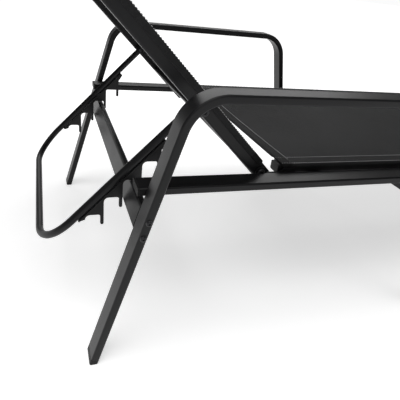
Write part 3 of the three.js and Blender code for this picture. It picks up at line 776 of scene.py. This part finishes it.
    def stitches(self, name: str, paths: list[list[Vector]], normals: list[Vector]) -> bpy.types.Object:
        """Sews a row of short threads along each path.

        Args:
            name: The piece's name.
            paths: Closely spaced points on the cloth's face, one list for each row.
            normals: Which way the cloth faces along each row.

        Returns:
            One object that holds every stitch.
        """
        mesh = bmesh.new()
        period = self.stitch_length + self.stitch_gap
        for path, normal in zip(paths, normals):
            distance = [0.0]
            for a, b in zip(path, path[1:]):
                distance.append(distance[-1] + (b - a).length)
            count = int(distance[-1] / period)
            for index in range(count):
                start = index * period + self.stitch_gap / 2
                a = walk(path, distance, start)
                b = walk(path, distance, start + self.stitch_length)
                add_stitch(mesh, a, b, normal, self.stitch_radius)
        return mesh_piece(name, mesh)

    def side_rows(self) -> tuple[list[list[Vector]], list[Vector]]:
        """The stitch rows along each rail: on its outer top edge and just inside it."""
        edge = self.span.half_width + self.edge_gap
        paths, normals = [], []
        for side in Side:
            outer = side.sign * (edge - self.corner)
            paths.append([self.span.place(s, outer, self.lift()) for s in self.stations()])
            normals.append(self.span.up)
            inner = edge - self.rail_width - self.stitch_inset
            share = 1 - (inner / (edge - self.rail_width)) ** 2
            paths.append([self.surface(s, side.sign * inner, 0.0, share) for s in self.stations()])
            normals.append(self.span.up)
        return paths, normals

    def hem_rows(self) -> tuple[list[list[Vector]], list[Vector]]:
        """The stitch rows across, near the inner edge of each hem."""
        paths, normals = [], []
        reach = self.hem_width - self.seam_inset
        rise = self.span.up * self.thickness * self.fold_rise
        for s in (reach, self.span.length - reach):
            row = [self.surface(s, y, h, share) + rise
                   for y, h, share in self.profile() if h >= 0.0][1:-1]
            paths.append(row)
            normals.append(self.span.up)
        return paths, normals

    def build(self) -> None:
        sheet = self.strip(self.name, self.stations(), 0.0, self.thickness, self.profile())
        dress(sheet, FABRIC)
        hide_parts(self.node)
        side_paths, side_normals = self.side_rows()
        hem_paths, hem_normals = self.hem_rows()
        cloth = [self.hem(f"{self.name}_hem_hinge", True), self.hem(f"{self.name}_hem_end", False),
                 self.lip(f"{self.name}_lip_hinge", True)]
        if self.lip_end:
            cloth.append(self.lip(f"{self.name}_lip_end", False))
        thread = [self.stitches(f"{self.name}_side_stitching", side_paths, side_normals),
                  self.stitches(f"{self.name}_hem_stitching", hem_paths, hem_normals)]
        # The hems and lips take the darker hem colour, which is painted shade.
        extras = [dress(piece, HEM_PAINTED_SHADE) for piece in cloth]
        extras += [dress(piece, THREAD) for piece in thread]
        for piece in (sheet, *extras):
            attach(piece, self.body)


def walk(path: list[Vector], distance: list[float], where: float) -> Vector:
    """The point at a distance along a path."""
    for index in range(len(path) - 1):
        if distance[index + 1] >= where:
            share = (where - distance[index]) / (distance[index + 1] - distance[index])
            return path[index].lerp(path[index + 1], share)
    return path[-1].copy()


# Share of a stitch's length, then its rise and thickness in thread radii
STITCH_ARC = ((0.0, -0.4, 0.6), (0.15, 0.45, 1.0), (0.5, 0.75, 1.1), (0.85, 0.45, 1.0), (1.0, -0.4, 0.6))


def add_stitch(mesh: bmesh.types.BMesh, start: Vector, end: Vector, normal: Vector, radius: float) -> None:
    """Adds one thread that rises out of the cloth, lies on it and dives back.

    Args:
        mesh: The bmesh to add to.
        start: Where the needle came up.
        end: Where it went down.
        normal: Which way the cloth faces.
        radius: The thread's radius.
    """
    forward = (end - start).normalized()
    across = normal.cross(forward)
    sides = 6
    rings = []
    for along, rise, swell in STITCH_ARC:
        centre = start.lerp(end, along) + normal * radius * rise
        ring = []
        for step in range(sides):
            angle = 2 * math.pi * step / sides
            offset = across * math.cos(angle) + normal * math.sin(angle)
            ring.append(mesh.verts.new(centre + offset * radius * swell))
        rings.append(ring)
    for lower, upper in zip(rings, rings[1:]):
        for step in range(sides):
            other = (step + 1) % sides
            mesh.faces.new((lower[step], lower[other], upper[other], upper[step]))
    mesh.faces.new(list(reversed(rings[0])))
    mesh.faces.new(rings[-1])


# ---- Fasteners ----
@dataclass
class SocketBolt:
    """A domed socket-head bolt with a washer, standing for a plain CAD bolt."""

    node: str
    body: str
    outward: int
    finish: Finish
    head_height: float = 3.0 * MM
    washer_height: float = 1.0 * MM
    shank_share: float = 0.5
    socket_share: float = 0.46
    socket_depth: float = 2.0 * MM
    turn: float = 0.4
    sides: int = 24
    crease: float = math.radians(38)

    def build(self) -> bpy.types.Object:
        """Lathes the shank, washer and dome and sinks the hexagon socket."""
        low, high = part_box(self.node)
        radius = (high.x - low.x) / 2
        centre_x, centre_z = (low.x + high.x) / 2, (low.z + high.z) / 2
        outer = high.y if self.outward > 0 else low.y
        inner = low.y if self.outward > 0 else high.y
        length = abs(outer - inner) - self.head_height
        shank = radius * self.shank_share
        mesh = bmesh.new()
        rings = self.rings(radius, shank, length)
        built = [ring_of(mesh, r, h, self.sides) for r, h in rings]
        for a, b in zip(built, built[1:]):
            bridge(mesh, a, b)
        mesh.faces.new(list(reversed(built[0])))
        self.close_with_socket(mesh, built[-1], radius * self.socket_share, self.head_height)
        turn = Matrix.Rotation(-math.pi / 2 * self.outward, 4, "X")
        base_y = outer - self.outward * self.head_height
        place = Matrix.Translation((centre_x, base_y, centre_z)) @ turn @ Matrix.Rotation(self.turn, 4, "Z")
        bmesh.ops.transform(mesh, matrix=place, verts=mesh.verts)
        bmesh.ops.recalc_face_normals(mesh, faces=mesh.faces)
        piece = mesh_piece(f"{self.node}_detail", mesh)
        piece.data.set_sharp_from_angle(angle=self.crease)
        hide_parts(self.node)
        dress(piece, self.finish)
        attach(piece, self.body)
        return piece

    def rings(self, radius: float, shank: float, length: float) -> list[tuple[float, float]]:
        """Radius and height of each ring from the shank's end to the dome's rim.

        Args:
            radius: The washer's radius.
            shank: The shank's radius.
            length: From the shank's end to the head's seat.

        Returns:
            The rings in order.
        """
        head = radius * 0.86
        top = self.head_height
        return [
            (shank * 0.8, -length), (shank, -length + 0.6 * MM), (shank, 0.0),
            (radius * 0.97, 0.0), (radius, 0.15 * MM), (radius, self.washer_height - 0.15 * MM),
            (radius * 0.97, self.washer_height), (head, self.washer_height + 0.02 * MM),
            (head, self.washer_height + 0.6 * MM), (head * 0.93, self.washer_height + 1.3 * MM),
            (head * 0.78, top - 0.35 * MM), (head * 0.62, top),
        ]

    def close_with_socket(self, mesh: bmesh.types.BMesh, rim: list[bmesh.types.BMVert],
                          flat: float, top: float) -> None:
        """Closes the dome with a hexagonal socket.

        Args:
            mesh: The bolt's bmesh.
            rim: The last ring of the dome.
            flat: The hexagon's corner radius.
            top: The dome's height.
        """
        edge = hexagon_of(mesh, flat, top, len(rim))
        floor = hexagon_of(mesh, flat, top - self.socket_depth, len(rim))
        bridge(mesh, rim, edge)
        bridge(mesh, edge, floor)
        mesh.faces.new(floor)


def ring_of(mesh: bmesh.types.BMesh, radius: float, height: float, count: int) -> list[bmesh.types.BMVert]:
    """A ring of vertices round Z."""
    turns = [2 * math.pi * step / count for step in range(count)]
    return [mesh.verts.new((radius * math.cos(a), radius * math.sin(a), height)) for a in turns]


def hexagon_of(mesh: bmesh.types.BMesh, radius: float, height: float, count: int) -> list[bmesh.types.BMVert]:
    """A ring of vertices on a hexagon, as many as the round ring that it joins."""
    verts = []
    for step in range(count):
        angle = 2 * math.pi * step / count
        within = (angle % (math.pi / 3)) - math.pi / 6
        reach = radius * math.cos(math.pi / 6) / math.cos(within)
        verts.append(mesh.verts.new((reach * math.cos(angle), reach * math.sin(angle), height)))
    return verts


def bridge(mesh: bmesh.types.BMesh, a: list[bmesh.types.BMVert], b: list[bmesh.types.BMVert]) -> None:
    """Joins two rings of the same count with faces."""
    count = len(a)
    for step in range(count):
        other = (step + 1) % count
        mesh.faces.new((a[step], a[other], b[other], b[step]))


# ---- Weld beads ----
@dataclass
class WeldBead:
    """A rippled bead laid along a line of points."""

    name: str
    body: str
    path: list[Vector]
    radius: float = 1.6 * MM
    ripple: float = 2.2 * MM
    swelling: float = 0.14
    unevenness: float = 0.12
    unevenness_scale: float = 400.0
    end_taper: float = 0.35
    look_ahead: float = 0.2 * MM
    steps_per_ripple: int = 4
    sides: int = 8

    def build(self) -> bpy.types.Object:
        """Sweeps the bead with a swelling radius so that it looks laid pass by pass."""
        distance = [0.0]
        for a, b in zip(self.path, self.path[1:]):
            distance.append(distance[-1] + (b - a).length)
        steps = max(self.steps_per_ripple, int(distance[-1] / (self.ripple / self.steps_per_ripple)))
        mesh = bmesh.new()
        rings = []
        for index in range(steps + 1):
            where = distance[-1] * index / steps
            centre = walk(self.path, distance, where)
            ahead = walk(self.path, distance, min(distance[-1], where + self.look_ahead))
            behind = walk(self.path, distance, max(0.0, where - self.look_ahead))
            forward = (ahead - behind).normalized()
            frame_x = forward.orthogonal().normalized()
            frame_y = forward.cross(frame_x)
            swell = 1 - self.swelling * (1 - math.cos(2 * math.pi * where / self.ripple))
            taper = min(1.0, self.end_taper + min(index, steps - index) / self.steps_per_ripple)
            uneven = 1 + self.unevenness * noise.noise(centre * self.unevenness_scale)
            radius = self.radius * swell * taper * uneven
            rings.append([mesh.verts.new(centre + (frame_x * math.cos(t) + frame_y * math.sin(t)) * radius)
                          for t in (2 * math.pi * k / self.sides for k in range(self.sides))])
        for a, b in zip(rings, rings[1:]):
            bridge(mesh, a, b)
        mesh.faces.new(list(reversed(rings[0])))
        mesh.faces.new(rings[-1])
        bmesh.ops.recalc_face_normals(mesh, faces=mesh.faces)
        piece = mesh_piece(self.name, mesh)
        dress(piece, WELD)
        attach(piece, self.body)
        return piece


# ---- Frame dressing ----
class FrameDresser:
    """Gives every carried-over CAD node its finish, and adds bolts and beads."""

    bolt_nodes: dict[str, str] = {"crossbar_bolt_": "frame", "beam_bolt_": "frame",
                                  "hinge_bolt_": "frame", "stay_bolt_": "backrest"}

    crease: float = math.radians(36)
    weld_distance: float = 0.002 * MM
    turn_per_bolt: float = 0.37
    leaning_bead: float = 1.3 * MM
    bead_end_gap: float = 3.0 * MM

    def dress_nodes(self) -> None:
        """Puts the finish of its record slot on each CAD node, and shades the coated tubes smooth."""
        finishes = {Slot.COAT: COAT, Slot.PLASTIC: PLUG, Slot.ZINC: ZINC, Slot.MESH: FABRIC}
        for entry in frame["record"]["subparts"]:
            name, slot = entry["node"], Slot(entry["material_slot"])
            dress(frame["nodes"][name], finishes[slot])
            if slot is Slot.COAT:
                self.smooth_twin(name)
        LOG.info("dressed %d frame pieces", len(frame["nodes"]))

    def smooth_twin(self, name: str) -> bpy.types.Object:
        """Replaces a coated piece with one of the same shape whose bends are shaded smooth.

        Args:
            name: The CAD node.

        Returns:
            The smooth piece.
        """
        node = frame["nodes"][name]
        mesh = bmesh.new()
        spots = [mesh.verts.new(vertex.co) for vertex in node.data.vertices]
        for polygon in node.data.polygons:
            mesh.faces.new([spots[index] for index in polygon.vertices])
        bmesh.ops.remove_doubles(mesh, verts=mesh.verts, dist=self.weld_distance)
        piece = mesh_piece(f"{name}_coated", mesh)
        piece.data.set_sharp_from_angle(angle=self.crease)
        flats = piece.modifiers.new("flat_faces", "WEIGHTED_NORMAL")
        flats.keep_sharp = True
        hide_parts(name)
        dress(piece, COAT)
        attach(piece, body_of(node)[0])
        LOG.info("smooth piece %s", piece.name)
        return piece

    def add_bolts(self) -> None:
        """Replaces the plain bolts with socket-head ones and washers."""
        for index, node in enumerate(sorted(frame["nodes"])):
            for prefix, body in self.bolt_nodes.items():
                if not node.startswith(prefix):
                    continue
                side = Side.LEFT if node.endswith(Side.LEFT.label) else Side.RIGHT
                outward = -side.sign if prefix == "beam_bolt_" else side.sign
                SocketBolt(node, body, outward, BLACK_BOLT, turn=index * self.turn_per_bolt).build()
                LOG.info("bolt %s", node)

    def add_welds(self) -> None:
        """Lays beads where bars meet the rails and beams."""
        for bar in ("seat_spreader_head", "seat_spreader_middle", "seat_end_bar"):
            self.weld_bar_ends(bar, "frame")
        self.weld_leaning_ends("end_crossbar")
        LOG.info("laid weld beads")

    def weld_bar_ends(self, node: str, body: str) -> None:
        """Runs a bead round three sides of each end of an upright bar."""
        low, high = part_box(node)
        for side in Side:
            y = high.y if side is Side.LEFT else low.y
            path = [Vector((low.x, y, high.z)), Vector((low.x, y, low.z)),
                    Vector((high.x, y, low.z)), Vector((high.x, y, high.z))]
            WeldBead(f"weld_{node}_{side.label}", body, path).build()

    def weld_leaning_ends(self, node: str) -> None:
        """Runs a bead down both broad faces of each end of a leaning crossbar."""
        verts = [vertex.co for vertex in frame["nodes"][node].data.vertices]
        low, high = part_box(node)
        top = max(verts, key=lambda c: c.z)
        bottom = min(verts, key=lambda c: c.z)
        lean = Vector((top.x - bottom.x, 0.0, top.z - bottom.z)).normalized()
        across = Vector((lean.z, 0.0, -lean.x))
        centre = (low + high) / 2
        reach = max((v - centre).dot(lean) for v in verts) - self.bead_end_gap
        half = max((v - centre).dot(across) for v in verts)
        for side in Side:
            y = high.y if side is Side.LEFT else low.y
            for face, sign in (("head", -1), ("foot", 1)):
                middle = Vector((centre.x, y, centre.z)) + across * half * sign
                path = [middle - lean * reach, middle + lean * reach]
                WeldBead(f"weld_{node}_{face}_{side.label}", "frame", path, radius=self.leaning_bead).build()


# ---- Stage ----
@dataclass
class Stage:
    """Floor, lights and camera."""

    floor_size: float = 60.0
    floor_colour: tuple[float, float, float] = (0.93, 0.93, 0.93)
    floor_glow: float = 0.52
    world_strength: float = 0.11
    backdrop_strength: float = 0.97
    floor_drop: float = 0.5 * MM
    overhead_strength: float = 1.6
    overhead_angle: float = math.radians(50)
    overhead_place: tuple[float, float, float] = (-0.5, -0.9, 3.0)
    panel_power: float = 42.0
    panel_size: tuple[float, float] = (4.0, 1.3)
    panel_place: tuple[float, float, float] = (0.4, 3.0, 2.1)
    panel_target: tuple[float, float, float] = (0.0, 0.0, 0.4)
    eye: tuple[float, float, float] = (-0.3296, -0.8213, 0.5745)
    heading: float = math.radians(22.15)
    pitch: float = math.radians(28.58)
    roll: float = math.radians(7.67)
    lens: float = 37.94
    shift_y: float = 0.0078

    def build(self) -> None:
        """Builds everything round the lounger."""
        self.floor()
        self.world()
        self.lights()
        self.camera()
        LOG.info("stage built")

    def floor(self) -> None:
        """A plain pale ground plane."""
        mesh = bmesh.new()
        bmesh.ops.create_grid(mesh, x_segments=4, y_segments=4, size=self.floor_size / 2)
        floor = mesh_piece("floor", mesh)
        floor.location.z = -self.floor_drop
        material = bpy.data.materials.new("pale_floor")
        material.use_nodes = True
        shader = material.node_tree.nodes["Principled BSDF"]
        shader.inputs["Base Color"].default_value = (*self.floor_colour, 1.0)
        shader.inputs["Roughness"].default_value = 0.9
        shader.inputs["Specular IOR Level"].default_value = 0.1
        shader.inputs["Emission Color"].default_value = (1.0, 1.0, 1.0, 1.0)
        shader.inputs["Emission Strength"].default_value = self.floor_glow
        floor.data.materials.append(material)

    def world(self) -> None:
        """An even white sky, brighter as a backdrop than as a light."""
        world = bpy.data.worlds.new("studio")
        world.use_nodes = True
        tree = world.node_tree
        back = tree.nodes["Background"]
        back.inputs["Color"].default_value = (1.0, 1.0, 1.0, 1.0)
        seen = tree.nodes.new("ShaderNodeLightPath")
        strength = tree.nodes.new("ShaderNodeMapRange")
        strength.inputs["To Min"].default_value = self.world_strength
        strength.inputs["To Max"].default_value = self.backdrop_strength
        tree.links.new(seen.outputs["Is Camera Ray"], strength.inputs["Value"])
        tree.links.new(strength.outputs["Result"], back.inputs["Strength"])
        bpy.context.scene.world = world

    def lights(self) -> None:
        """One broad overhead source, and a long soft panel beyond the far side."""
        sky = bpy.data.lights.new("overhead", "SUN")
        sky.energy = self.overhead_strength
        sky.angle = self.overhead_angle
        self.hang(sky, self.overhead_place, (0.0, 0.0, 0.0))
        panel = bpy.data.lights.new("far_panel", "AREA")
        panel.shape = "RECTANGLE"
        panel.size, panel.size_y = self.panel_size
        panel.energy = self.panel_power
        self.hang(panel, self.panel_place, self.panel_target)

    def hang(self, light: bpy.types.Light, place: tuple[float, float, float],
             target: tuple[float, float, float]) -> None:
        """Puts a light in place and turns it to its target."""
        lamp = bpy.data.objects.new(light.name, light)
        lamp.location = place
        lamp.visible_camera = False
        lamp.rotation_mode = "QUATERNION"
        lamp.rotation_quaternion = (Vector(target) - Vector(place)).to_track_quat("-Z", "Y")
        bpy.context.scene.collection.objects.link(lamp)

    def camera(self) -> None:
        """Sets the camera above the near armrest, looking down across the lounger, and rolled a little."""
        hinge = next(j for j in frame["joints"] if j["name"] == "backrest_recline")["pos_m"]
        data = bpy.data.cameras.new("camera")
        data.lens = self.lens
        data.shift_y = self.shift_y
        camera = bpy.data.objects.new("camera", data)
        forward = Vector((math.cos(self.pitch) * math.sin(self.heading),
                          math.cos(self.pitch) * math.cos(self.heading), -math.sin(self.pitch)))
        right = Vector((math.cos(self.heading), -math.sin(self.heading), 0.0))
        up = right.cross(forward)
        rolled_right = right * math.cos(self.roll) + up * math.sin(self.roll)
        rolled_up = up * math.cos(self.roll) - right * math.sin(self.roll)
        turn = Matrix((rolled_right, rolled_up, -forward)).transposed()
        camera.rotation_mode = "QUATERNION"
        camera.rotation_quaternion = turn.to_quaternion()
        camera.location = Vector((hinge[0], 0.0, 0.0)) + Vector(self.eye)
        bpy.context.scene.collection.objects.link(camera)
        bpy.context.scene.camera = camera


def build_slings() -> None:
    """Builds the seat and backrest slings over their rails."""
    seat = Span.of_node("seat_sling", Vector((1.0, 0.0, 0.0)), inset=5.5 * MM)
    Sling("seat_mesh", seat, "frame", "seat_sling", ["seat_rail_left", "seat_rail_right"],
          side_drop=4.9 * MM, lip_end=False).build()
    back = Span.of_node("back_sling", Vector((-1.0, 0.0, 1.0)))
    Sling("back_mesh", back, "backrest", "back_sling", ["back_rail_left", "back_rail_right"],
          side_drop=10.5 * MM).build()


def main() -> None:
    """Builds the lounger's looks round its frame."""
    dresser = FrameDresser()
    dresser.dress_nodes()
    dresser.add_bolts()
    dresser.add_welds()
    build_slings()
    Stage().build()
    bpy.context.scene.view_settings.view_transform = "Standard"


if __name__ == "__main__":
    main()
